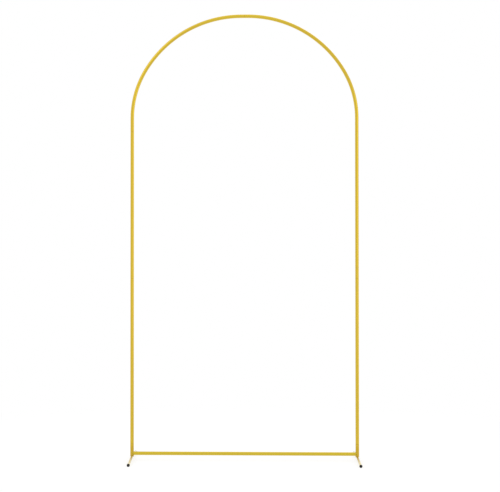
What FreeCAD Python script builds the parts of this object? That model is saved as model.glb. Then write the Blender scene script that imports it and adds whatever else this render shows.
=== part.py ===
# Round-topped arch frame of thin steel tube that stands on two bowed feet of thinner tube.
# It knocks down into straight and bent lengths of one tube, joined end to end over inner sleeves.
# Frame: +Z up, +X to the right seen from the front, -Y to the front.
# The origin is on the floor, midway between the posts and midway between the foot ends.

import FreeCAD, Part
import os
import Sketcher

# Driving sizes, in millimetres and degrees
SIZES = (
    ("post_spacing", 1007, "axis of one post to the axis of the other"),
    ("tube_diameter", 16, "outside of every frame tube but the feet"),
    ("tube_wall", 1, "wall of every frame tube"),
    ("tube_end_break", 0.5, "outer edge broken at each tube end, seen as the seam line"),
    ("upright_height", 58, "foot tube axis to the top of the welded upright"),
    ("lower_post_length", 740, "straight tube between the base seam and the middle seam"),
    ("upper_post_length", 659, "straight tube between the middle seam and the arch seam"),
    ("springing_tail", 60, "straight run left below the curve on each arch bend"),
    ("arch_rise", 458, "start of the curve to the tube axis at the crown"),
    ("crown_straight", 14, "straight run left at the crown end of each arch bend"),
    ("crown_sweep", 59, "degrees of the flatter crown curve, the rest is the tighter side curve"),
    ("sleeve_wall", 1, "wall of the inner joining sleeves"),
    ("sleeve_clearance", 0.15, "radial clearance of a sleeve in a frame tube"),
    ("sleeve_reach", 55, "how far a sleeve reaches into a straight tube"),
    ("sleeve_end_margin", 5, "room left between a sleeve end and what lies beyond it"),
    ("crown_reach", 45, "how far the crown sleeve reaches to each side of the crown"),
    ("button_height", 47, "middle seam to the centre of the spring button hole"),
    ("button_hole_diameter", 6, "hole for the spring button through post and sleeve"),
    ("crossbar_lift", 14.5, "foot tube axis up to the crossbar axis"),
    ("crossbar_end_gap", 0.3, "clearance of the coped crossbar end on the upright"),
    ("weld_gap", 0.05, "root gap of a coped and welded tube end"),
    ("foot_tube_diameter", 13, "outside of the two foot tubes"),
    ("foot_tube_length", 420, "foot tube from front end to rear end"),
    ("foot_flat_length", 50, "level middle of the foot tube that carries the upright"),
    ("foot_bend_radius", 300, "bend from the level middle into each sloping leg"),
    ("foot_slope", 3, "degrees that each leg of the foot slopes down to the floor"),
    ("cap_overhang", 0.3, "how far a foot cap stands proud of its tube all round"),
    ("cap_head_length", 5, "length of a foot cap outside its tube"),
    ("cap_edge_slope", 1.2, "sloped edge round the outer end of a foot cap"),
    ("cap_sole_depth", 0.35, "flat moulded on the underside of a foot cap"),
    ("cap_stem_length", 16, "length of a foot cap inside its tube"),
    ("cap_stem_diameter", 8, "core of the stem between its grip ribs"),
    ("cap_rib_width", 1.2, "thickness of each grip rib on the stem"),
    ("cap_rib_pitch", 4.5, "one grip rib to the next"),
    ("cap_rib_clearance", 0.1, "radial clearance of the grip ribs in the foot tube"),
)

doc = FreeCAD.newDocument("arch_frame")
sheet = doc.addObject("Spreadsheet::Sheet", "Sizes")
for row, (alias, value, meaning) in enumerate(SIZES, start=1):
    sheet.set(f"A{row}", meaning)
    sheet.set(f"B{row}", str(value))
    sheet.setAlias(f"B{row}", alias)
doc.recompute()

# Sizes and places worked out from the driving sizes, as expressions
HALF_SPAN = "(Sizes.post_spacing / 2)"
TUBE_RADIUS = "(Sizes.tube_diameter / 2)"
TUBE_BORE = f"({TUBE_RADIUS} - Sizes.tube_wall)"
SLEEVE_RADIUS = f"({TUBE_BORE} - Sizes.sleeve_clearance)"
SLEEVE_BORE = f"({SLEEVE_RADIUS} - Sizes.sleeve_wall)"

SLOPE = "(Sizes.foot_slope * 1 deg)"
FOOT_RADIUS = "(Sizes.foot_tube_diameter / 2)"
FOOT_BORE = f"({FOOT_RADIUS} - Sizes.tube_wall)"
CAP_RADIUS = f"({FOOT_RADIUS} + Sizes.cap_overhang)"
CAP_SIDE = "(Sizes.cap_head_length - Sizes.cap_edge_slope)"
FOOT_END_HEIGHT = f"({CAP_SIDE} * sin({SLOPE}) + {CAP_RADIUS} * cos({SLOPE}) - Sizes.cap_sole_depth)"
LEG_RUN = (
    f"(Sizes.foot_tube_length / 2 - Sizes.foot_flat_length / 2"
    f" - Sizes.foot_bend_radius * sin({SLOPE}))"
)
FOOT_DROP = f"(Sizes.foot_bend_radius * (1 - cos({SLOPE})) + {LEG_RUN} * tan({SLOPE}))"
FOOT_AXIS = f"({FOOT_END_HEIGHT} + {FOOT_DROP})"
CROSSBAR_AXIS = f"({FOOT_AXIS} + Sizes.crossbar_lift)"
BASE_SEAM = f"({FOOT_AXIS} + Sizes.upright_height)"
MIDDLE_SEAM = f"({BASE_SEAM} + Sizes.lower_post_length)"
ARCH_SEAM = f"({MIDDLE_SEAM} + Sizes.upper_post_length)"
CROWN_AXIS = f"({ARCH_SEAM} + Sizes.springing_tail + Sizes.arch_rise)"

# The curve is three-centred: its side and crown radii follow from span, rise and sweep
SWEEP = "(Sizes.crown_sweep * 1 deg)"
CURVED_SPAN = f"({HALF_SPAN} - Sizes.crown_straight)"
RADIUS_STEP = f"(({CURVED_SPAN} - Sizes.arch_rise) / (sin({SWEEP}) + cos({SWEEP}) - 1))"
SIDE_RADIUS = f"({CURVED_SPAN} - {RADIUS_STEP} * sin({SWEEP}))"
CROWN_RADIUS = f"({SIDE_RADIUS} + {RADIUS_STEP})"

# Each side uses the same tubes, turned half round on the left
SIDES = (("right", 1, 0), ("left", -1, 180))

UP = FreeCAD.Vector(0, 0, 1)
CENTRE = FreeCAD.Vector(0, 0, 0)
START_POINT, END_POINT, CENTRE_POINT = range(1, 4)
UP_AXIS, ACROSS_AXIS = range(-2, 0)
ORIGIN_POINT = (ACROSS_AXIS, START_POINT)
SAME_SIZE = 0.001
CAP_RIBS = 3
QUARTER_TURN = 90
FULL_TURN = 360


def evaluate(expression):
    """The present value of an expression on the sheet, for a first guess in a sketch."""
    result = sheet.evalExpression(expression)
    return float(getattr(result, "Value", result))


def new_body(label):
    body = doc.addObject("PartDesign::Body", label)
    body.Label = label
    return body


def origin_plane(body, role):
    return next(item for item in body.Origin.OriginFeatures if item.Role == role)


def new_sketch(body, name, role):
    sketch = body.newObject("Sketcher::SketchObject", name)
    sketch.AttachmentSupport = [(origin_plane(body, role), "")]
    sketch.MapMode = "FlatFace"
    return sketch


def bind(sketch, constraint, name, expression):
    """Add a dimension to a sketch and tie it to the sheet."""
    index = sketch.addConstraint(constraint)
    sketch.renameConstraint(index, name)
    sketch.setExpression(f"Constraints.{name}", expression)


def add_circle(sketch, name, radius):
    guess = evaluate(radius)
    circle = sketch.addGeometry(Part.Circle(CENTRE, UP, guess), False)
    bind(sketch, Sketcher.Constraint("Radius", circle, guess), name, radius)
    return circle


def ring_sketch(body, role, radius, bore):
    sketch = new_sketch(body, "ring", role)
    for name, size in (("outer_radius", radius), ("bore_radius", bore)):
        circle = add_circle(sketch, name, size)
        sketch.addConstraint(Sketcher.Constraint("Coincident", circle, CENTRE_POINT, *ORIGIN_POINT))
    return sketch


def place(part, side, height):
    """Stand a part on the post axis of one side, at a height above the floor."""
    _, sign, turn = side
    part.Placement = FreeCAD.Placement(CENTRE, FreeCAD.Rotation(UP, turn))
    part.setExpression("Placement.Base.x", f"{sign} * {HALF_SPAN}")
    part.setExpression("Placement.Base.z", height)


def tube_pad(body, role, radius, bore, length):
    pad = body.newObject("PartDesign::Pad", "tube")
    pad.Profile = ring_sketch(body, role, radius, bore)
    pad.setExpression("Length", length)
    return pad


def break_ends(body, feature):
    """Break the outer edge at both ends of a frame tube."""
    doc.recompute()
    outer = evaluate(TUBE_RADIUS)
    rims = []
    for number, edge in enumerate(feature.Shape.Edges, start=1):
        is_circle = isinstance(edge.Curve, Part.Circle) and edge.isClosed()
        if is_circle and abs(edge.Curve.Radius - outer) < SAME_SIZE:
            rims.append(f"Edge{number}")
    chamfer = body.newObject("PartDesign::Chamfer", "end_break")
    chamfer.Base = (feature, rims)
    chamfer.setExpression("Size", "Sizes.tube_end_break")
    return chamfer


def cope_end(body, name, role, radius, offset):
    """Cut away what lies within a round member that crosses this tube, at an offset along it."""
    sketch = new_sketch(body, name + "_outline", role)
    circle = add_circle(sketch, "member_radius", radius)
    sketch.addConstraint(Sketcher.Constraint("PointOnObject", circle, CENTRE_POINT, ACROSS_AXIS))
    guess = evaluate(offset)
    reach = Sketcher.Constraint("DistanceX", *ORIGIN_POINT, circle, CENTRE_POINT, guess)
    bind(sketch, reach, "member_offset", offset)
    pocket = body.newObject("PartDesign::Pocket", name)
    pocket.Profile = sketch
    pocket.Type = "ThroughAll"
    pocket.Midplane = True
    return pocket


def swept_ring(body, ring, spine):
    pipe = body.newObject("PartDesign::AdditivePipe", "tube")
    pipe.Profile = ring
    pipe.Spine = spine
    return pipe


# Straight posts, each one plain tube


def make_post(name, side, length, height):
    body = new_body(f"{name}_{side[0]}")
    place(body, side, height)
    tube = tube_pad(body, "XY_Plane", TUBE_RADIUS, TUBE_BORE, length)
    break_ends(body, tube)
    return body


def button_hole(body, height):
    """Hole in the front wall of a tube, through which the spring button shows."""
    doc.recompute()
    sketch = new_sketch(body, "button_outline", "XZ_Plane")
    circle = add_circle(sketch, "button_radius", "Sizes.button_hole_diameter / 2")
    sketch.addConstraint(Sketcher.Constraint("PointOnObject", circle, CENTRE_POINT, UP_AXIS))
    guess = evaluate(height)
    rise = Sketcher.Constraint("DistanceY", *ORIGIN_POINT, circle, CENTRE_POINT, guess)
    bind(sketch, rise, "button_height", height)
    pocket = body.newObject("PartDesign::Pocket", "button_hole")
    pocket.Profile = sketch
    pocket.Type = "Length"
    pocket.setExpression("Length", "Sizes.tube_diameter")
    pocket.Reversed = True
    return pocket


# Inner sleeves, each half in one tube and half in the next


def make_sleeve(name, side, length, height):
    body = new_body(f"{name}_{side[0]}")
    place(body, side, height)
    tube_pad(body, "XY_Plane", SLEEVE_RADIUS, SLEEVE_BORE, length)
    return body


# Arch bends, each one tube bent to two tangent curves


def bend_spine(body):
    """Tail, side curve, crown curve and crown straight, end to end."""
    spine = new_sketch(body, "bend_line", "XZ_Plane")
    tail = evaluate("Sizes.springing_tail")
    side = evaluate(SIDE_RADIUS)
    crown = evaluate(CROWN_RADIUS)
    flat = evaluate("Sizes.crown_straight")
    rise = evaluate("Sizes.arch_rise")
    span = evaluate(HALF_SPAN)
    side_centre = FreeCAD.Vector(-side, tail, 0)
    crown_centre = FreeCAD.Vector(flat - span, tail + rise - crown, 0)
    side_circle = Part.Circle(side_centre, UP, side)
    crown_circle = Part.Circle(crown_centre, UP, crown)
    quarter = evaluate("pi / 2")
    meet = quarter - evaluate(f"{SWEEP} * pi / (180 deg)")
    crown_end = FreeCAD.Vector(flat - span, tail + rise, 0)
    crown_point = FreeCAD.Vector(-span, tail + rise, 0)
    first = spine.addGeometry(Part.LineSegment(CENTRE, FreeCAD.Vector(0, tail, 0)), False)
    second = spine.addGeometry(Part.ArcOfCircle(side_circle, 0, meet), False)
    third = spine.addGeometry(Part.ArcOfCircle(crown_circle, meet, quarter), False)
    last = spine.addGeometry(Part.LineSegment(crown_end, crown_point), False)
    spine.addConstraint([
        Sketcher.Constraint("Coincident", first, START_POINT, *ORIGIN_POINT),
        Sketcher.Constraint("Vertical", first),
        Sketcher.Constraint("Tangent", first, END_POINT, second, START_POINT),
        Sketcher.Constraint("Tangent", second, END_POINT, third, START_POINT),
        Sketcher.Constraint("Tangent", third, END_POINT, last, START_POINT),
        Sketcher.Constraint("Horizontal", last),
    ])
    bind(spine, Sketcher.Constraint("Distance", first, tail), "tail", "Sizes.springing_tail")
    bind(spine, Sketcher.Constraint("Radius", second, side), "side_radius", SIDE_RADIUS)
    bind(spine, Sketcher.Constraint("Radius", third, crown), "crown_radius", CROWN_RADIUS)
    bind(spine, Sketcher.Constraint("Angle", third, quarter - meet), "crown_sweep", SWEEP)
    bind(spine, Sketcher.Constraint("Distance", last, flat), "crown_straight", "Sizes.crown_straight")
    return spine


def make_arch_bend(side):
    body = new_body(f"arch_bend_{side[0]}")
    place(body, side, ARCH_SEAM)
    ring = ring_sketch(body, "XY_Plane", TUBE_RADIUS, TUBE_BORE)
    tube = swept_ring(body, ring, bend_spine(body))
    break_ends(body, tube)
    return body


# Level middle with a bend to each side, swept as one half and mirrored


def half_spine(body, role, flat, radius, sweep):
    """Level run from the middle, then an arc that curves down from its end."""
    spine = new_sketch(body, "bend_line", role)
    level = evaluate(flat)
    bend = evaluate(radius)
    line = spine.addGeometry(Part.LineSegment(CENTRE, FreeCAD.Vector(level, 0, 0)), False)
    circle = Part.Circle(FreeCAD.Vector(level, -bend, 0), UP, bend)
    quarter = evaluate("pi / 2")
    arc = spine.addGeometry(Part.ArcOfCircle(circle, quarter - sweep, quarter), False)
    spine.addConstraint([
        Sketcher.Constraint("Coincident", line, START_POINT, *ORIGIN_POINT),
        Sketcher.Constraint("Horizontal", line),
        Sketcher.Constraint("Tangent", line, END_POINT, arc, END_POINT),
    ])
    bind(spine, Sketcher.Constraint("Distance", line, level), "level_run", flat)
    bind(spine, Sketcher.Constraint("Radius", arc, bend), "bend_radius", radius)
    return spine, arc


def mirror_half(body, feature, role):
    mirrored = body.newObject("PartDesign::Mirrored", "both_halves")
    mirrored.Originals = [feature]
    mirrored.MirrorPlane = (origin_plane(body, role), [""])
    body.Tip = mirrored
    return mirrored


def make_crown_sleeve():
    """Short sleeve bent to the crown curve, where the two arch bends meet."""
    body = new_body("crown_sleeve")
    body.setExpression("Placement.Base.z", CROWN_AXIS)
    ring = ring_sketch(body, "YZ_Plane", SLEEVE_RADIUS, SLEEVE_BORE)
    guess = evaluate(f"(Sizes.crown_reach - Sizes.crown_straight) / {CROWN_RADIUS}")
    spine, arc = half_spine(body, "XZ_Plane", "Sizes.crown_straight", CROWN_RADIUS, guess)
    reach = evaluate("Sizes.crown_reach")
    end = Sketcher.Constraint("DistanceX", *ORIGIN_POINT, arc, START_POINT, reach)
    bind(spine, end, "reach", "Sizes.crown_reach")
    half = swept_ring(body, ring, spine)
    mirror_half(body, half, "YZ_Plane")
    return body


def make_foot(side):
    """Thinner foot tube, level in the middle and sloping down to the floor at both ends."""
    body = new_body(f"foot_{side[0]}")
    place(body, side, FOOT_AXIS)
    ring = ring_sketch(body, "XZ_Plane", FOOT_RADIUS, FOOT_BORE)
    slope = evaluate(f"{SLOPE} * pi / (180 deg)")
    spine, arc = half_spine(
        body, "YZ_Plane", "Sizes.foot_flat_length / 2", "Sizes.foot_bend_radius", slope
    )
    end_y = evaluate("Sizes.foot_tube_length / 2")
    drop = evaluate(FOOT_DROP)
    bend_end = spine.Geometry[arc].StartPoint
    leg = spine.addGeometry(Part.LineSegment(bend_end, FreeCAD.Vector(end_y, -drop, 0)), False)
    spine.addConstraint(Sketcher.Constraint("Tangent", arc, START_POINT, leg, START_POINT))
    bind(spine, Sketcher.Constraint("Angle", arc, slope), "slope", SLOPE)
    end = Sketcher.Constraint("DistanceX", *ORIGIN_POINT, leg, END_POINT, end_y)
    bind(spine, end, "end", "Sizes.foot_tube_length / 2")
    half = swept_ring(body, ring, spine)
    mirror_half(body, half, "XZ_Plane")
    return body


# Foot caps, black plugs with grip ribs inside the tube and a small flat sole


def cap_profile(body):
    """Half section of a cap: head outside the tube, core of the stem inside it."""
    sketch = new_sketch(body, "half_section", "XZ_Plane")
    head = evaluate("Sizes.cap_head_length")
    side = evaluate(CAP_SIDE)
    radius = evaluate(CAP_RADIUS)
    face = evaluate(f"({CAP_RADIUS} - Sizes.cap_edge_slope)")
    stem = evaluate("Sizes.cap_stem_length")
    core = evaluate("Sizes.cap_stem_diameter / 2")
    corners = (
        (0, head), (face, head), (radius, side), (radius, 0), (core, 0), (core, -stem), (0, -stem)
    )
    lines = []
    for start, end in zip(corners, corners[1:] + corners[:1]):
        segment = Part.LineSegment(FreeCAD.Vector(*start, 0), FreeCAD.Vector(*end, 0))
        lines.append(sketch.addGeometry(segment, False))
    for line, following in zip(lines, lines[1:] + lines[:1]):
        sketch.addConstraint(
            Sketcher.Constraint("Coincident", line, END_POINT, following, START_POINT)
        )
    end_face, sloped_edge, outside, shoulder, stem_side, stem_end, axis = lines
    for line in (end_face, shoulder, stem_end):
        sketch.addConstraint(Sketcher.Constraint("Horizontal", line))
    for line in (outside, stem_side):
        sketch.addConstraint(Sketcher.Constraint("Vertical", line))
    for point in (START_POINT, END_POINT):
        sketch.addConstraint(Sketcher.Constraint("PointOnObject", axis, point, UP_AXIS))
    sketch.addConstraint(
        Sketcher.Constraint("PointOnObject", shoulder, START_POINT, ACROSS_AXIS)
    )
    reach = Sketcher.Constraint("DistanceY", *ORIGIN_POINT, end_face, END_POINT, head)
    bind(sketch, reach, "head", "Sizes.cap_head_length")
    width = Sketcher.Constraint("DistanceX", *ORIGIN_POINT, outside, END_POINT, radius)
    bind(sketch, width, "radius", CAP_RADIUS)
    bind(sketch, Sketcher.Constraint("Distance", outside, side), "side", CAP_SIDE)
    across = f"({CAP_RADIUS} - Sizes.cap_edge_slope)"
    bind(sketch, Sketcher.Constraint("Distance", end_face, face), "face", across)
    bind(sketch, Sketcher.Constraint("Distance", stem_side, stem), "stem", "Sizes.cap_stem_length")
    half_stem = "Sizes.cap_stem_diameter / 2"
    bind(sketch, Sketcher.Constraint("Distance", stem_end, core), "core", half_stem)
    return sketch


def grip_ribs(body):
    """Thin round ribs spaced along the stem, which grip the bore of the tube."""
    doc.recompute()
    sketch = new_sketch(body, "rib_outline", "XY_Plane")
    circle = add_circle(sketch, "rib_radius", f"({FOOT_BORE} - Sizes.cap_rib_clearance)")
    sketch.addConstraint(Sketcher.Constraint("Coincident", circle, CENTRE_POINT, *ORIGIN_POINT))
    sketch.setExpression("AttachmentOffset.Base.z", "-Sizes.cap_rib_pitch")
    rib = body.newObject("PartDesign::Pad", "grip_rib")
    rib.Profile = sketch
    rib.setExpression("Length", "Sizes.cap_rib_width")
    rib.Reversed = True
    doc.recompute()
    ribs = body.newObject("PartDesign::LinearPattern", "grip_ribs")
    ribs.Originals = [rib]
    ribs.Direction = (sketch, ["N_Axis"])
    ribs.Reversed = True
    ribs.Mode = "Spacing"
    ribs.setExpression("Offset", "Sizes.cap_rib_pitch")
    ribs.Occurrences = CAP_RIBS
    body.Tip = ribs


def floor_block(label, sign, facing):
    """Block below the floor, which cuts the flat sole of the cap above it."""
    block = doc.addObject("Part::Box", label + "_floor")
    half_side = "(2 * Sizes.foot_tube_diameter)"
    foot_end = f"{-facing} * Sizes.foot_tube_length / 2"
    block.setExpression("Length", f"2 * {half_side}")
    block.setExpression("Width", f"2 * {half_side}")
    block.setExpression("Height", "Sizes.foot_tube_diameter")
    block.setExpression("Placement.Base.x", f"{sign} * {HALF_SPAN} - {half_side}")
    block.setExpression("Placement.Base.y", f"{foot_end} - {half_side}")
    block.setExpression("Placement.Base.z", "-Sizes.foot_tube_diameter")
    return block


def make_cap(name, side, facing):
    """Cap on the front (facing 1) or rear (facing -1) end of one foot, sole on the floor."""
    side_name, sign, _ = side
    label = f"foot_cap_{name}_{side_name}"
    body = new_body(label + "_turned")
    turned = body.newObject("PartDesign::Revolution", "plug")
    turned.Profile = cap_profile(body)
    turned.ReferenceAxis = (turned.Profile[0], ["V_Axis"])
    turned.Angle = FULL_TURN
    grip_ribs(body)
    # The cap's own axis points out of the tube, along the sloping leg
    outward = FreeCAD.Rotation(FreeCAD.Vector(facing, 0, 0), QUARTER_TURN)
    body.Placement = FreeCAD.Placement(CENTRE, outward)
    body.setExpression("Placement.Rotation.Angle", f"90 deg + {SLOPE}")
    body.setExpression("Placement.Base.x", f"{sign} * {HALF_SPAN}")
    body.setExpression("Placement.Base.y", f"{-facing} * Sizes.foot_tube_length / 2")
    body.setExpression("Placement.Base.z", FOOT_END_HEIGHT)
    cap = doc.addObject("Part::Cut", label)
    cap.Label = label
    cap.Base = body
    cap.Tool = floor_block(label, sign, facing)
    return cap


# Welded base parts: upright on the foot, and the sleeve that carries the crossbar


def make_upright(side):
    """Short tube whose lower end is notched to straddle the foot tube down to its axis."""
    body = new_body(f"base_upright_{side[0]}")
    place(body, side, FOOT_AXIS)
    tube = tube_pad(body, "XY_Plane", TUBE_RADIUS, TUBE_BORE, "Sizes.upright_height")
    break_ends(body, tube)
    doc.recompute()
    cope_end(body, "foot_notch", "XZ_Plane", f"({FOOT_RADIUS} + Sizes.weld_gap)", "0")
    return body


def make_crossbar():
    """Level tube between the uprights, both ends coped round them."""
    body = new_body("crossbar")
    body.setExpression("Placement.Base.z", CROSSBAR_AXIS)
    tube = tube_pad(body, "YZ_Plane", TUBE_RADIUS, TUBE_BORE, "Sizes.post_spacing")
    tube.Midplane = True
    doc.recompute()
    fit = f"({TUBE_RADIUS} + Sizes.crossbar_end_gap)"
    cope_end(body, "right_cope", "XY_Plane", fit, HALF_SPAN)
    doc.recompute()
    cope_end(body, "left_cope", "XY_Plane", fit, f"-{HALF_SPAN}")
    return body


def make_crossbar_sleeve(side):
    body = new_body(f"crossbar_sleeve_{side[0]}")
    place(body, side, CROSSBAR_AXIS)
    reach = f"({TUBE_RADIUS} + Sizes.sleeve_reach)"
    tube = tube_pad(body, "YZ_Plane", SLEEVE_RADIUS, SLEEVE_BORE, reach)
    tube.Reversed = True
    doc.recompute()
    cope_end(body, "upright_cope", "XY_Plane", f"({TUBE_RADIUS} + Sizes.weld_gap)", "0")
    return body


# Put the arch together from the floor up

parts = [make_crossbar(), make_crown_sleeve()]
for side in SIDES:
    parts.append(make_foot(side))
    parts.append(make_cap("front", side, 1))
    parts.append(make_cap("rear", side, -1))
    parts.append(make_upright(side))
    parts.append(make_crossbar_sleeve(side))

    sunk = f"(Sizes.upright_height - {FOOT_RADIUS} - Sizes.sleeve_end_margin)"
    reach = f"({sunk} + Sizes.sleeve_reach)"
    parts.append(make_sleeve("base_sleeve", side, reach, f"({BASE_SEAM} - {sunk})"))
    parts.append(make_post("lower_post", side, "Sizes.lower_post_length", BASE_SEAM))

    both_ways = "(2 * Sizes.sleeve_reach)"
    middle = make_sleeve("middle_sleeve", side, both_ways, f"({MIDDLE_SEAM} - Sizes.sleeve_reach)")
    button_hole(middle, "(Sizes.sleeve_reach + Sizes.button_height)")
    parts.append(middle)
    upper = make_post("upper_post", side, "Sizes.upper_post_length", MIDDLE_SEAM)
    button_hole(upper, "Sizes.button_height")
    parts.append(upper)

    into_tail = "(Sizes.sleeve_reach + Sizes.springing_tail - Sizes.sleeve_end_margin)"
    parts.append(make_sleeve("arch_sleeve", side, into_tail, f"({ARCH_SEAM} - Sizes.sleeve_reach)"))
    parts.append(make_arch_bend(side))

doc.recompute()

for item in doc.Objects:
    faults = [state for state in item.State if state in ("Invalid", "Error")]
    if faults:
        raise RuntimeError(f"{item.Label} did not build: {faults}")

os.makedirs("parts", exist_ok=True)
for part in parts:
    if part.Shape.isNull() or not part.Shape.isValid():
        raise RuntimeError(f"{part.Label} has no valid shape")
    part.Shape.exportStep(f"parts/{part.Label}.step")
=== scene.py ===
import math

import bmesh
import bpy
from mathutils import Matrix, Vector


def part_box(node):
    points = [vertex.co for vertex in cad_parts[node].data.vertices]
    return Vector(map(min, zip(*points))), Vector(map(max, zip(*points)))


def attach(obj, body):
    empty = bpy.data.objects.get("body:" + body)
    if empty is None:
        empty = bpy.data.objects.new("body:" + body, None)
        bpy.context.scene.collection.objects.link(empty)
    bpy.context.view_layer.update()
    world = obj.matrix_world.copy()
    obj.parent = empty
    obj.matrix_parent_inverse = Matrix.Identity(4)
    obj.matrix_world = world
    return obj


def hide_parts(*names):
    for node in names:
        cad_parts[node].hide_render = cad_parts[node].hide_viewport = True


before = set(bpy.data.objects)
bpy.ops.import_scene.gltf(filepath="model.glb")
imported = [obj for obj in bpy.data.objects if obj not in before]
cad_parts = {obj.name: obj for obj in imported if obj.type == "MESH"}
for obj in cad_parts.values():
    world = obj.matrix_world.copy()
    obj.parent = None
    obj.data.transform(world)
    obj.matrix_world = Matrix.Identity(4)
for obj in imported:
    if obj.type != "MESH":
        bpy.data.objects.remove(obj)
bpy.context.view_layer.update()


# The camera: 6.7 m in front of the arch at waist height, nearly square to it.
# Its lens is long, and the picture is trimmed a little off the lens axis.
PICTURE_WIDTH = 500
SENSOR_MM = 36.0
FOCAL_PIXELS = 1489.5
AXIS_LEFT_PIXELS = 45.5
AXIS_UP_PIXELS = 20.1
CAMERA_PLACE = (0.0185, -6.678, 0.9405)
CAMERA_YAW = math.radians(1.691)
CAMERA_PITCH = math.radians(0.930)
QUARTER_TURN = math.pi / 2

photo_lens = bpy.data.cameras.new("photo_lens")
photo_lens.sensor_width = SENSOR_MM
photo_lens.lens = FOCAL_PIXELS / PICTURE_WIDTH * SENSOR_MM
photo_lens.shift_x = AXIS_LEFT_PIXELS / PICTURE_WIDTH
photo_lens.shift_y = -AXIS_UP_PIXELS / PICTURE_WIDTH
camera = bpy.data.objects.new("photo_camera", photo_lens)
camera.location = CAMERA_PLACE
camera.rotation_euler = (QUARTER_TURN + CAMERA_PITCH, 0.0, CAMERA_YAW)
bpy.context.scene.collection.objects.link(camera)
bpy.context.scene.camera = camera


# The studio floor: pale matt paper that runs out into plain white.
# It keeps the arch's faint soft shadow close round the feet. Elsewhere it is as white as the room,
# but what a tube mirrors of it is a little dimmer to the front, as in a studio with one dark side.
FLOOR_HALF = 9.0
FLOOR_PALE = (0.82, 0.82, 0.82, 1.0)
SHADOW_PALE = (0.26, 0.26, 0.26, 1.0)
FLOOR_GLOW = 0.79
SHADOW_REACH = 0.9
WHITE_REACH = 2.2
DIM_SIDE = 0.88
STRAIGHT_TO_FRONT = -1.0
DIM_SIDE_EDGE = -0.4
DIM_FLATNESS = 3.0
MIRRORED_FROM = 0.12
SHARP_EDGE = math.radians(40.0)


def empty_shader(owner, kind):
    """Clear the node tree of a material or the room, and start it with its output."""
    owner.use_nodes = True
    nodes = owner.node_tree.nodes
    nodes.clear()
    return nodes, owner.node_tree.links, nodes.new("ShaderNodeOutput" + kind)


def add_math(nodes, links, operation, first, second):
    """A sum, product or the like of two values, the second of them linked or fixed."""
    result = nodes.new("ShaderNodeMath")
    result.operation = operation
    links.new(first, result.inputs[0])
    if isinstance(second, float):
        result.inputs[1].default_value = second
    else:
        links.new(second, result.inputs[1])
    return result.outputs["Value"]


def add_range(nodes, links, value, from_range, to_range):
    """Bring a value from one range to another, held at its ends."""
    fitted = nodes.new("ShaderNodeMapRange")
    fitted.inputs["From Min"].default_value, fitted.inputs["From Max"].default_value = from_range
    fitted.inputs["To Min"].default_value, fitted.inputs["To Max"].default_value = to_range
    links.new(value, fitted.inputs["Value"])
    return fitted.outputs["Result"]


def add_split(nodes, links, vector):
    """The X, Y and Z of a place or direction."""
    split = nodes.new("ShaderNodeSeparateXYZ")
    links.new(vector, split.inputs["Vector"])
    return split.outputs


def add_front_dimming(nodes, links, place, height):
    """White as mirrored at a height over a place: dimmer in a low band towards the front."""
    band = nodes.new("ShaderNodeMapping")
    band.inputs["Location"].default_value = (0.0, 0.0, -height * DIM_FLATNESS)
    band.inputs["Scale"].default_value = (1.0, 1.0, DIM_FLATNESS)
    links.new(place, band.inputs["Vector"])
    direction = nodes.new("ShaderNodeVectorMath")
    direction.operation = "NORMALIZE"
    links.new(band.outputs["Vector"], direction.inputs[0])
    rearward = add_split(nodes, links, direction.outputs["Vector"])["Y"]
    return add_range(nodes, links, rearward, (STRAIGHT_TO_FRONT, DIM_SIDE_EDGE), (DIM_SIDE, 1.0))


def add_shader_mix(nodes, links, factor, first, second):
    """Fade from one shader to another."""
    mix = nodes.new("ShaderNodeMixShader")
    links.new(factor, mix.inputs["Fac"])
    links.new(first, mix.inputs[1])
    links.new(second, mix.inputs[2])
    return mix.outputs["Shader"]


def link_piece(name, shape, material):
    """Make a finished bmesh an object at the origin, smooth but for its sharp edges."""
    for face in shape.faces:
        face.smooth = True
    for edge in shape.edges:
        edge.smooth = not edge.is_manifold or edge.calc_face_angle() < SHARP_EDGE
    mesh = bpy.data.meshes.new(name)
    shape.to_mesh(mesh)
    shape.free()
    mesh.materials.append(material)
    piece = bpy.data.objects.new(name, mesh)
    bpy.context.scene.collection.objects.link(piece)
    return piece


floor_paper = bpy.data.materials.new("floor_paper")
nodes, links, output = empty_shader(floor_paper, "Material")
path = nodes.new("ShaderNodeLightPath").outputs
place = nodes.new("ShaderNodeTexCoord").outputs["Object"]
away = nodes.new("ShaderNodeVectorMath")
away.operation = "LENGTH"
links.new(place, away.inputs[0])
fade = add_range(
    nodes, links, away.outputs["Value"], (SHADOW_REACH, WHITE_REACH), (0.0, 1.0)
)
looked_at = add_math(nodes, links, "MAXIMUM", path["Is Camera Ray"], path["Is Transmission Ray"])
mirrored_light = add_front_dimming(nodes, links, place, MIRRORED_FROM)
lit = nodes.new("ShaderNodeBsdfDiffuse")
lit.inputs["Color"].default_value = FLOOR_PALE
glow = nodes.new("ShaderNodeEmission")
glow.inputs["Strength"].default_value = FLOOR_GLOW
shadowed = nodes.new("ShaderNodeBsdfDiffuse")
shadowed.inputs["Color"].default_value = SHADOW_PALE
near = nodes.new("ShaderNodeAddShader")
links.new(shadowed.outputs["BSDF"], near.inputs[0])
links.new(glow.outputs["Emission"], near.inputs[1])
white = nodes.new("ShaderNodeEmission")
mirrored = nodes.new("ShaderNodeEmission")
links.new(mirrored_light, mirrored.inputs["Strength"])
shown = add_shader_mix(nodes, links, fade, near.outputs["Shader"], white.outputs["Emission"])
unseen = add_shader_mix(
    nodes, links, path["Is Glossy Ray"], lit.outputs["BSDF"], mirrored.outputs["Emission"]
)
links.new(add_shader_mix(nodes, links, looked_at, unseen, shown), output.inputs["Surface"])

floor_shape = bmesh.new()
bmesh.ops.create_grid(floor_shape, x_segments=1, y_segments=1, size=FLOOR_HALF)
link_piece("studio_floor", floor_shape, floor_paper)


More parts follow.
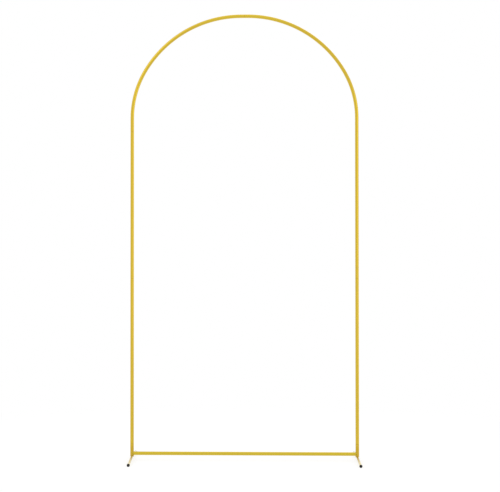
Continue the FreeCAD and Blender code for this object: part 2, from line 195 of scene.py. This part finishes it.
# The white room: plain white wherever it is looked at, and even soft light on everything.
# What a tube mirrors of it is white as well, but for the dimmer side to the front.
ROOM_LIGHT = 0.8
WHITE = (1.0, 1.0, 1.0, 1.0)
AT_EYE_LEVEL = 0.0

room = bpy.data.worlds.new("white_room")
nodes, links, output = empty_shader(room, "World")
path = nodes.new("ShaderNodeLightPath").outputs
lighting, mirrored, seen = (nodes.new("ShaderNodeBackground") for _ in range(3))
for background in (lighting, mirrored, seen):
    background.inputs["Color"].default_value = WHITE
lighting.inputs["Strength"].default_value = ROOM_LIGHT
direction = nodes.new("ShaderNodeTexCoord").outputs["Generated"]
mirrored_light = add_front_dimming(nodes, links, direction, AT_EYE_LEVEL)
links.new(mirrored_light, mirrored.inputs["Strength"])
unseen = add_shader_mix(
    nodes, links, path["Is Glossy Ray"],
    lighting.outputs["Background"], mirrored.outputs["Background"],
)
looked_at = add_math(nodes, links, "MAXIMUM", path["Is Camera Ray"], path["Is Transmission Ray"])
room_look = add_shader_mix(nodes, links, looked_at, unseen, seen.outputs["Background"])
links.new(room_look, output.inputs["Surface"])
bpy.context.scene.world = room


# The soft boxes: a wide one high on the left in front, a weaker one low on the right,
# and one behind that lines the top of the curve. All are large and weak, as for a plain cut-out.
SOFT_BOXES = (
    ("key", (-3.6, -3.6, 4.8), 4.0, 28.0),
    ("fill", (4.4, -2.6, 1.4), 3.6, 24.0),
    ("back", (1.0, 4.2, 4.2), 3.6, 26.0),
)
AIMED_AT = Vector((0.0, 0.0, 1.0))

for name, lamp_place, width, watts in SOFT_BOXES:
    soft_box = bpy.data.lights.new("soft_box_" + name, "AREA")
    soft_box.size = width
    soft_box.energy = watts
    lamp = bpy.data.objects.new("soft_box_" + name, soft_box)
    lamp.location = lamp_place
    lamp.rotation_euler = (AIMED_AT - Vector(lamp_place)).to_track_quat("-Z", "Y").to_euler()
    bpy.context.scene.collection.objects.link(lamp)


# The frame tubes: thin-walled drawn steel tube, cut, bent and welded, then sprayed metallic gold
# under a clear glossy coat, with fine flake and a faint orange-peel skin, worn where the post
# tubes meet. Light and shade are painted into the gold: painted light makes the crown paler,
# painted shade makes the crossbar a little deeper and the welded base and the feet by the uprights
# deeper still, and a painted reflection of the white floor makes the foot ends paler.
SIDES = ("left", "right")
GOLD = (0.690, 0.485, 0.032, 1.0)
# Painted light: a paler gold on the crown stands in for light on the top of the curve.
CROWN_PAINTED_LIGHT_GOLD = (0.735, 0.530, 0.034, 1.0)
# Painted shade: the crossbar's gold is a little deeper, for the shade of the floor it mirrors
# below.
BAR_PAINTED_SHADE_GOLD = (0.650, 0.480, 0.027, 1.0)
# Painted shade: a deeper gold darkens the bottom of each post, where it meets the foot.
BASE_PAINTED_SHADE_GOLD = (0.600, 0.400, 0.020, 1.0)
# Painted shade: the feet are deeper by the uprights, where the upright and crossbar shade them.
FOOT_PAINTED_SHADE_GOLD = (0.470, 0.310, 0.018, 1.0)
# Painted reflection: the foot ends are paler, as they mirror the white floor at a grazing angle.
FOOT_END_PAINTED_REFLECTION_GOLD = (0.780, 0.630, 0.140, 1.0)
WORN_EDGE = (0.60, 0.43, 0.075, 1.0)
# Where the painted light on the crown, the painted shade at the base and the painted shade and
# reflection along the feet fade in.
CROWN_PAINTED_LIGHT_REACH = (1.940, 1.985)
BASE_PAINTED_SHADE_REACH = (0.078, 0.056)
FOOT_SHADE_TO_REFLECTION_REACH = (0.03, 0.19)
DRAWN_LEVEL = (0.03, 1.0, 1.0)
DRAWN_BACK = (1.0, 0.03, 1.0)
DRAWN_UP = (1.0, 1.0, 0.03)
DRAWN_ROUND = (0.3, 1.0, 0.3)
NOT_DRAWN = (1.0, 1.0, 1.0)
THIN_COAT = 0.5
THICK_COAT = 1.0
COAT_ROUGHNESS = 0.06
COAT_IOR = 1.5
TONE_SCALE = 14.0
TONE_DETAIL = 3.0
TONE_NOISE = (0.35, 0.65)
TONE_DEPTH = 0.985
FLAKE_SCALE = 2400.0
FLAKE_ROUGHNESS = (0.16, 0.26)
PEEL_SCALE = 700.0
PEEL_DETAIL = 1.0
PEEL_DEPTH = 0.000012
DRAW_SCALE = 260.0
DRAW_DETAIL = 2.0
DRAW_DEPTH = 0.000012
WEAR_NEAR = 0.0002
WEAR_FAR = 0.0008
WEAR_WOBBLE = 0.0008
WEAR_ROUGHNESS = 0.25
WOBBLE_SCALE = 420.0
WOBBLE_DETAIL = 3.0
NOISE_SPREAD = (0.3, 0.7)
FIRST_COLOUR, SECOND_COLOUR = 6, 7
MIXED_COLOUR = 2


def start_material(name):
    """A new material, with its shader and the object coordinates that its patterns read."""
    material = bpy.data.materials.new(name)
    material.use_nodes = True
    nodes = material.node_tree.nodes
    place = nodes.new("ShaderNodeTexCoord").outputs["Object"]
    return material, nodes, material.node_tree.links, nodes["Principled BSDF"], place


def add_noise(nodes, links, place, scale, detail):
    """Cloudy noise, coarse or fine by its scale."""
    noise = nodes.new("ShaderNodeTexNoise")
    noise.inputs["Scale"].default_value = scale
    noise.inputs["Detail"].default_value = detail
    links.new(place, noise.inputs["Vector"])
    return noise.outputs["Fac"]


def add_colours(nodes, links, factor, first, second):
    """Mix two colours, each a fixed colour or another mix."""
    mix = nodes.new("ShaderNodeMix")
    mix.data_type = "RGBA"
    links.new(factor, mix.inputs["Factor"])
    for index, colour in ((FIRST_COLOUR, first), (SECOND_COLOUR, second)):
        if isinstance(colour, tuple):
            mix.inputs[index].default_value = colour
        else:
            links.new(colour, mix.inputs[index])
    return mix.outputs[MIXED_COLOUR]


def add_bump(nodes, links, height, depth, under=None):
    """Raise a surface by a pattern, on top of another bump where there is one."""
    bump = nodes.new("ShaderNodeBump")
    bump.inputs["Distance"].default_value = depth
    links.new(height, bump.inputs["Height"])
    if under is not None:
        links.new(under, bump.inputs["Normal"])
    return bump.outputs["Normal"]


def add_stretch(nodes, links, place, scale):
    """Draw a pattern out along a tube."""
    stretch = nodes.new("ShaderNodeMapping")
    stretch.inputs["Scale"].default_value = scale
    links.new(place, stretch.inputs["Vector"])
    return stretch.outputs["Vector"]


def worn_rings(nodes, links, place, seams):
    """Thin uneven rings of worn paint at the heights where one tube end meets the next."""
    height = add_split(nodes, links, place)["Z"]
    uneven = add_noise(nodes, links, place, WOBBLE_SCALE, WOBBLE_DETAIL)
    wobble = add_range(nodes, links, uneven, NOISE_SPREAD, (-WEAR_WOBBLE / 2, WEAR_WOBBLE / 2))
    worn = None
    for seam in seams:
        past_seam = add_math(nodes, links, "SUBTRACT", height, seam)
        uneven_past = add_math(nodes, links, "ADD", past_seam, wobble)
        away = add_math(nodes, links, "ABSOLUTE", uneven_past, 0.0)
        ring = add_range(nodes, links, away, (WEAR_NEAR, WEAR_FAR), (1.0, 0.0))
        worn = ring if worn is None else add_math(nodes, links, "MAXIMUM", worn, ring)
    return worn


def gold_paint(name, lengthwise, gold, clear_coat, turn=None, seams=()):
    """Gold paint on tube drawn along one axis, worn at its seams, and faded along the turn's axis
    to a second gold that paints in light and shade.
    """
    material, nodes, links, paint, place = start_material(name)
    drawn = add_stretch(nodes, links, place, lengthwise)
    tone = nodes.new("ShaderNodeHueSaturation")
    tone.inputs["Color"].default_value = gold
    slow_change = add_noise(nodes, links, drawn, TONE_SCALE, TONE_DETAIL)
    depth = add_range(nodes, links, slow_change, TONE_NOISE, (TONE_DEPTH, 1.0))
    links.new(depth, tone.inputs["Value"])
    # The turn fades along one axis to a second gold that paints in light and shade.
    if turn:
        axis, reach, painted_light_and_shade_gold = turn
        along = add_split(nodes, links, place)[axis]
        away = add_math(nodes, links, "ABSOLUTE", along, 0.0)
        light_and_shade_share = add_range(nodes, links, away, reach, (0.0, 1.0))
        links.new(add_colours(nodes, links, light_and_shade_share, gold, painted_light_and_shade_gold), tone.inputs["Color"])
    colour = tone.outputs["Color"]
    flake = nodes.new("ShaderNodeTexVoronoi")
    flake.inputs["Scale"].default_value = FLAKE_SCALE
    links.new(place, flake.inputs["Vector"])
    roughness = add_range(nodes, links, flake.outputs["Color"], (0.0, 1.0), FLAKE_ROUGHNESS)
    if seams:
        worn = worn_rings(nodes, links, place, seams)
        colour = add_colours(nodes, links, worn, colour, WORN_EDGE)
        rubbed = add_math(nodes, links, "MULTIPLY", worn, WEAR_ROUGHNESS)
        roughness = add_math(nodes, links, "ADD", roughness, rubbed)
    links.new(colour, paint.inputs["Base Color"])
    links.new(roughness, paint.inputs["Roughness"])
    draw_lines = add_noise(nodes, links, drawn, DRAW_SCALE, DRAW_DETAIL)
    peel = add_noise(nodes, links, place, PEEL_SCALE, PEEL_DETAIL)
    skin = add_bump(nodes, links, draw_lines, DRAW_DEPTH)
    skin = add_bump(nodes, links, peel, PEEL_DEPTH, skin)
    links.new(skin, paint.inputs["Normal"])
    links.new(skin, paint.inputs["Coat Normal"])
    paint.inputs["Metallic"].default_value = 1.0
    paint.inputs["Coat Weight"].default_value = clear_coat
    paint.inputs["Coat Roughness"].default_value = COAT_ROUGHNESS
    paint.inputs["Coat IOR"].default_value = COAT_IOR
    return material


def finish_nodes(material, *names):
    """Give their finish to tubes that keep their own shape."""
    for name in names:
        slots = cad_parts[name].data.materials
        slots.clear()
        slots.append(material)


base_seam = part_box("lower_post_left")[0][2]
middle_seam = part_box("upper_post_left")[0][2]
post_seams = (base_seam, middle_seam)

# The turns: painted shade at the foot of the posts, painted light on the crown, and along each
# foot painted shade by the upright that fades to a painted reflection of the white floor at the
# end.
base_painted_shade = ("Z", BASE_PAINTED_SHADE_REACH, BASE_PAINTED_SHADE_GOLD)
crown_painted_light = ("Z", CROWN_PAINTED_LIGHT_REACH, CROWN_PAINTED_LIGHT_GOLD)
foot_painted_shade_and_reflection = ("Y", FOOT_SHADE_TO_REFLECTION_REACH, FOOT_END_PAINTED_REFLECTION_GOLD)

post_gold = gold_paint("gold_posts", DRAWN_UP, GOLD, THIN_COAT, base_painted_shade, post_seams)
bend_gold = gold_paint("gold_bends", DRAWN_ROUND, GOLD, THIN_COAT, crown_painted_light)
# Painted shade: the crossbar takes the deeper gold.
bar_gold = gold_paint("gold_crossbar", DRAWN_LEVEL, BAR_PAINTED_SHADE_GOLD, THIN_COAT)
foot_gold = gold_paint("gold_feet", DRAWN_BACK, FOOT_PAINTED_SHADE_GOLD, THICK_COAT, foot_painted_shade_and_reflection)

finish_nodes(bar_gold, "crossbar")
for side in SIDES:
    finish_nodes(post_gold, "base_upright_" + side, "lower_post_" + side, "upper_post_" + side)
    finish_nodes(bend_gold, "arch_bend_" + side)
    finish_nodes(foot_gold, "foot_" + side)


# The inner sleeves: zinc-plated drawn steel tube that reaches from one tube of the post or arch
# into the next. In the crossbar they are stubs that are coped and welded to the uprights.
# All are hidden but for what shows past the spring buttons.
ZINC = (0.56, 0.57, 0.56, 1.0)
ZINC_DULL = (0.42, 0.43, 0.43, 1.0)
ZINC_SCALE = 90.0
ZINC_DETAIL = 4.0
ZINC_ROUGHNESS = (0.28, 0.5)
SLEEVE_LINES_DRAWN = (1.0, 1.0, 0.02)
SLEEVE_LINE_SCALE = 500.0
SLEEVE_LINE_DETAIL = 2.0
SLEEVE_LINE_DEPTH = 0.00002

sleeve_zinc, nodes, links, metal, place = start_material("sleeve_zinc")
cloud = add_noise(nodes, links, place, ZINC_SCALE, ZINC_DETAIL)
drawn = add_stretch(nodes, links, place, SLEEVE_LINES_DRAWN)
lines = add_noise(nodes, links, drawn, SLEEVE_LINE_SCALE, SLEEVE_LINE_DETAIL)
dullness = add_range(nodes, links, cloud, NOISE_SPREAD, ZINC_ROUGHNESS)
links.new(add_colours(nodes, links, cloud, ZINC, ZINC_DULL), metal.inputs["Base Color"])
links.new(dullness, metal.inputs["Roughness"])
links.new(add_bump(nodes, links, lines, SLEEVE_LINE_DEPTH), metal.inputs["Normal"])
metal.inputs["Metallic"].default_value = 1.0

finish_nodes(sleeve_zinc, "crown_sleeve")
for side in SIDES:
    for joint in ("crossbar", "base", "middle", "arch"):
        finish_nodes(sleeve_zinc, f"{joint}_sleeve_{side}")


# The weld beads: the upright is notched to straddle the thinner foot tube, and welded to it all
# round. The bead is full in the corners in front and behind, runs out nearly flush under the
# sides of the notch, shows the ripple of a hand-held torch, and is painted with the tubes.
BEAD_IN_CORNER = 0.0016
BEAD_AT_SIDE = 0.0008
CORNER_OUT = 0.0003
SIDE_IN = 0.0011
SIDE_LOW = 0.0005
NOTCH_SOFTNESS = 0.12
RIPPLES = 34
RIPPLE_DEPTH = 0.09
RIPPLE_STEPS = 6
BEAD_STEPS = RIPPLES * RIPPLE_STEPS
BEAD_SECTION = 12
UPRIGHT_AXIS = (0.0, 0.0, 1.0)
ON_AXIS = (0.0, 0.0, 0.0)

# The beads take the deep foot gold: painted shade in the crotch of the base.
bead_gold = gold_paint("gold_beads", NOT_DRAWN, FOOT_PAINTED_SHADE_GOLD, THICK_COAT)
upright_low, upright_high = (Vector(corner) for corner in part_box("base_upright_right"))
tube_radius = (upright_high.x - upright_low.x) / 2
post_x = (upright_high.x + upright_low.x) / 2
foot_low, foot_high = (Vector(corner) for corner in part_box("foot_right"))
foot_radius = (foot_high.x - foot_low.x) / 2
foot_axis = foot_high.z - foot_radius
foot_places = (("left", -post_x), ("right", post_x))

for side, bead_x in foot_places:
    bead = bmesh.new()
    bmesh.ops.create_circle(bead, segments=BEAD_SECTION, radius=BEAD_AT_SIDE)
    bmesh.ops.rotate(bead, verts=bead.verts, matrix=Matrix.Rotation(QUARTER_TURN, 3, "X"))
    bmesh.ops.translate(bead, verts=bead.verts, vec=(tube_radius, 0.0, 0.0))
    bmesh.ops.spin(
        bead, geom=bead.verts[:] + bead.edges[:], axis=UPRIGHT_AXIS, cent=ON_AXIS,
        angle=math.tau, steps=BEAD_STEPS, use_merge=True,
    )
    for vert in bead.verts:
        turn = math.atan2(vert.co.y, vert.co.x)
        over_foot = 1.0 - (tube_radius * math.cos(turn) / foot_radius) ** 2
        corner = math.sqrt((over_foot + math.hypot(over_foot, NOTCH_SOFTNESS)) / 2)
        ripple = 1.0 + RIPPLE_DEPTH * abs(math.sin(turn * RIPPLES / 2))
        swell = (1.0 + (BEAD_IN_CORNER / BEAD_AT_SIDE - 1.0) * corner) * ripple
        out = tube_radius - SIDE_IN + (SIDE_IN + CORNER_OUT) * corner
        out += (math.hypot(vert.co.x, vert.co.y) - tube_radius) * swell
        up = foot_axis - SIDE_LOW + (foot_radius + CORNER_OUT + SIDE_LOW) * corner
        up += vert.co.z * swell
        vert.co = (bead_x + out * math.cos(turn), out * math.sin(turn), up)
    bmesh.ops.recalc_face_normals(bead, faces=bead.faces)
    weld_bead = link_piece("weld_bead_" + side, bead, bead_gold)
    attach(weld_bead, "root")


# The spring buttons: a domed pin on a flat spring inside the middle sleeve, which snaps out
# through the upper post and locks it. One faces the front, the other the rear.
BUTTON_RADIUS = 0.0027
BUTTON_TOP = 0.0022
BUTTON_SEAT = -0.00335
BUTTON_FLANGE = 0.0035
FLANGE_THICK = 0.0006
BUTTON_ROUND = 0.0014
BUTTON_HEIGHT = 0.047
BUTTON_STEPS = 40
BUTTON_GOLD = (0.58, 0.42, 0.06, 1.0)
BUTTON_WORN = (0.50, 0.47, 0.40, 1.0)
BUTTON_ROUGHNESS = (0.22, 0.42)
RUB_SCALE = 700.0
RUB_DETAIL = 3.0
RUB_NOISE = (0.5, 0.62)
RUB_MOST = 0.7
RUB_DEPTH = 0.00002
SAME_PLACE = 1e-6
NEAR_RIM = 1e-5
ROUNDING_STEPS = 6
ROUND_PROFILE = 0.5
SAME_MATERIAL = -1
FACING_FRONT = -1.0
FACING_REAR = 1.0


def turned_piece(profile, steps):
    """Spin a half section of distance out and height about the upright axis, closed all round."""
    shape = bmesh.new()
    corners = [shape.verts.new((out, 0.0, up)) for out, up in profile]
    for start, finish in zip(corners, corners[1:]):
        shape.edges.new((start, finish))
    bmesh.ops.spin(
        shape, geom=shape.verts[:] + shape.edges[:], axis=UPRIGHT_AXIS, cent=ON_AXIS,
        angle=math.tau, steps=steps, use_merge=True,
    )
    bmesh.ops.remove_doubles(shape, verts=shape.verts, dist=SAME_PLACE)
    bmesh.ops.recalc_face_normals(shape, faces=shape.faces)
    return shape


def round_rim(shape, radius, height, rounding):
    """Round the edge that runs round a turned piece at one radius and height."""
    rim = [
        edge for edge in shape.edges
        if all(
            abs(math.hypot(vert.co.x, vert.co.y) - radius) + abs(vert.co.z - height) < NEAR_RIM
            for vert in edge.verts
        )
    ]
    bmesh.ops.bevel(
        shape, geom=rim, offset=rounding, affect="EDGES", segments=ROUNDING_STEPS,
        profile=ROUND_PROFILE, material=SAME_MATERIAL,
    )


button_metal, nodes, links, metal, place = start_material("button_metal")
rubbed = add_noise(nodes, links, place, RUB_SCALE, RUB_DETAIL)
worn = add_range(nodes, links, rubbed, RUB_NOISE, (0.0, RUB_MOST))
roughness = add_range(nodes, links, rubbed, NOISE_SPREAD, BUTTON_ROUGHNESS)
links.new(add_colours(nodes, links, worn, BUTTON_GOLD, BUTTON_WORN), metal.inputs["Base Color"])
links.new(roughness, metal.inputs["Roughness"])
links.new(add_bump(nodes, links, rubbed, RUB_DEPTH), metal.inputs["Normal"])
metal.inputs["Metallic"].default_value = 1.0

button_profile = (
    (0.0, BUTTON_TOP),
    (BUTTON_RADIUS, BUTTON_TOP),
    (BUTTON_RADIUS, BUTTON_SEAT),
    (BUTTON_FLANGE, BUTTON_SEAT),
    (BUTTON_FLANGE, BUTTON_SEAT - FLANGE_THICK),
    (0.0, BUTTON_SEAT - FLANGE_THICK),
)
for side, button_x, facing in (("left", -post_x, FACING_REAR), ("right", post_x, FACING_FRONT)):
    button = turned_piece(button_profile, BUTTON_STEPS)
    round_rim(button, BUTTON_RADIUS, BUTTON_TOP, BUTTON_ROUND)
    outward = Matrix.Rotation(-facing * QUARTER_TURN, 3, "X")
    bmesh.ops.rotate(button, verts=button.verts, matrix=outward)
    button_place = (button_x, facing * tube_radius, middle_seam + BUTTON_HEIGHT)
    bmesh.ops.translate(button, verts=button.verts, vec=button_place)
    spring_button = link_piece("spring_button_" + side, button, button_metal)
    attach(spring_button, "root")


# The foot caps: black polyethylene plugs pressed into the four foot ends, the only thing that
# touches the floor. Moulded in one piece, with a rounded rim, a slightly crowned face, the small
# pit of the moulding gate in its middle, a flat sole, and ribs on the stem that grip the bore.
CAP_BLACK = (0.012, 0.0115, 0.011, 1.0)
CAP_SCUFFED = (0.045, 0.043, 0.040, 1.0)
CAP_SHEEN = 0.25
CAP_ROUGHNESS = (0.38, 0.56)
CAP_HEAD = 0.005
CAP_PROUD = 0.0003
CAP_RIM_ROUND = 0.0015
CAP_CROWN = 0.0003
CROWN_PART_OUT = 0.6
CROWN_PART_DOWN = CAP_CROWN / 3
GATE_RADIUS = 0.0010
GATE_DEPTH = 0.0003
STEM_RADIUS = 0.004
STEM_LENGTH = 0.016
RIB_RADIUS = 0.0054
RIB_WIDTH = 0.0012
RIB_PITCH = 0.0045
RIB_COUNT = 3
CAP_STEPS = 72
FOOT_SLOPE = math.radians(3.0)
SKIN_SCALE = 1800.0
SKIN_DETAIL = 2.0
SKIN_DEPTH = 0.00003
PATCH_SCALE = 260.0
PATCH_DETAIL = 5.0
SCUFF_NOISE = (0.48, 0.7)
SCUFF_HEIGHT = 0.005
SCUFF_LEAST = 0.12

cap_plastic, nodes, links, plastic, place = start_material("cap_plastic")
skin = add_noise(nodes, links, place, SKIN_SCALE, SKIN_DETAIL)
patches = add_noise(nodes, links, place, PATCH_SCALE, PATCH_DETAIL)
height = add_split(nodes, links, place)["Z"]
low_down = add_range(nodes, links, height, (0.0, SCUFF_HEIGHT), (1.0, SCUFF_LEAST))
rough_patches = add_range(nodes, links, patches, SCUFF_NOISE, (0.0, 1.0))
scuffs = add_math(nodes, links, "MULTIPLY", low_down, rough_patches)
black = add_colours(nodes, links, scuffs, CAP_BLACK, CAP_SCUFFED)
roughness = add_range(nodes, links, patches, NOISE_SPREAD, CAP_ROUGHNESS)
links.new(black, plastic.inputs["Base Color"])
links.new(roughness, plastic.inputs["Roughness"])
links.new(add_bump(nodes, links, skin, SKIN_DEPTH), plastic.inputs["Normal"])
plastic.inputs["Specular IOR Level"].default_value = CAP_SHEEN

cap_radius = foot_radius + CAP_PROUD
rim_height = CAP_HEAD - CAP_CROWN
cap_profile = [
    (0.0, CAP_HEAD - GATE_DEPTH),
    (GATE_RADIUS, CAP_HEAD - GATE_DEPTH),
    (GATE_RADIUS, CAP_HEAD),
    (cap_radius * CROWN_PART_OUT, CAP_HEAD - CROWN_PART_DOWN),
    (cap_radius, rim_height),
    (cap_radius, 0.0),
    (STEM_RADIUS, 0.0),
]
for rib in range(1, RIB_COUNT + 1):
    rib_near = -rib * RIB_PITCH
    rib_far = rib_near - RIB_WIDTH
    cap_profile += [(STEM_RADIUS, rib_near), (RIB_RADIUS, rib_near)]
    cap_profile += [(RIB_RADIUS, rib_far), (STEM_RADIUS, rib_far)]
cap_profile += [(STEM_RADIUS, -STEM_LENGTH), (0.0, -STEM_LENGTH)]

foot_end = foot_high.y - foot_radius * math.sin(FOOT_SLOPE)
for side, cap_x in foot_places:
    for end, facing in (("front", FACING_FRONT), ("rear", FACING_REAR)):
        node = f"foot_cap_{end}_{side}"
        end_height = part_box(node)[1][2] - cap_radius * math.cos(FOOT_SLOPE)
        cap = turned_piece(cap_profile, CAP_STEPS)
        round_rim(cap, cap_radius, rim_height, CAP_RIM_ROUND)
        outward = Matrix.Rotation(-facing * (QUARTER_TURN + FOOT_SLOPE), 3, "X")
        bmesh.ops.rotate(cap, verts=cap.verts, matrix=outward)
        bmesh.ops.translate(cap, verts=cap.verts, vec=(cap_x, facing * foot_end, end_height))
        sole = bmesh.ops.bisect_plane(
            cap, geom=cap.verts[:] + cap.edges[:] + cap.faces[:], dist=SAME_PLACE,
            plane_co=(0.0, 0.0, 0.0), plane_no=(0.0, 0.0, 1.0), clear_inner=True,
        )
        sole_edges = [item for item in sole["geom_cut"] if isinstance(item, bmesh.types.BMEdge)]
        bmesh.ops.edgenet_fill(cap, edges=sole_edges)
        bmesh.ops.recalc_face_normals(cap, faces=cap.faces)
        moulded_cap = link_piece(node + "_moulded", cap, cap_plastic)
        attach(moulded_cap, "root")
        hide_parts(node)


# The finished picture: plain display of colours.
bpy.context.scene.view_settings.view_transform = "Standard"
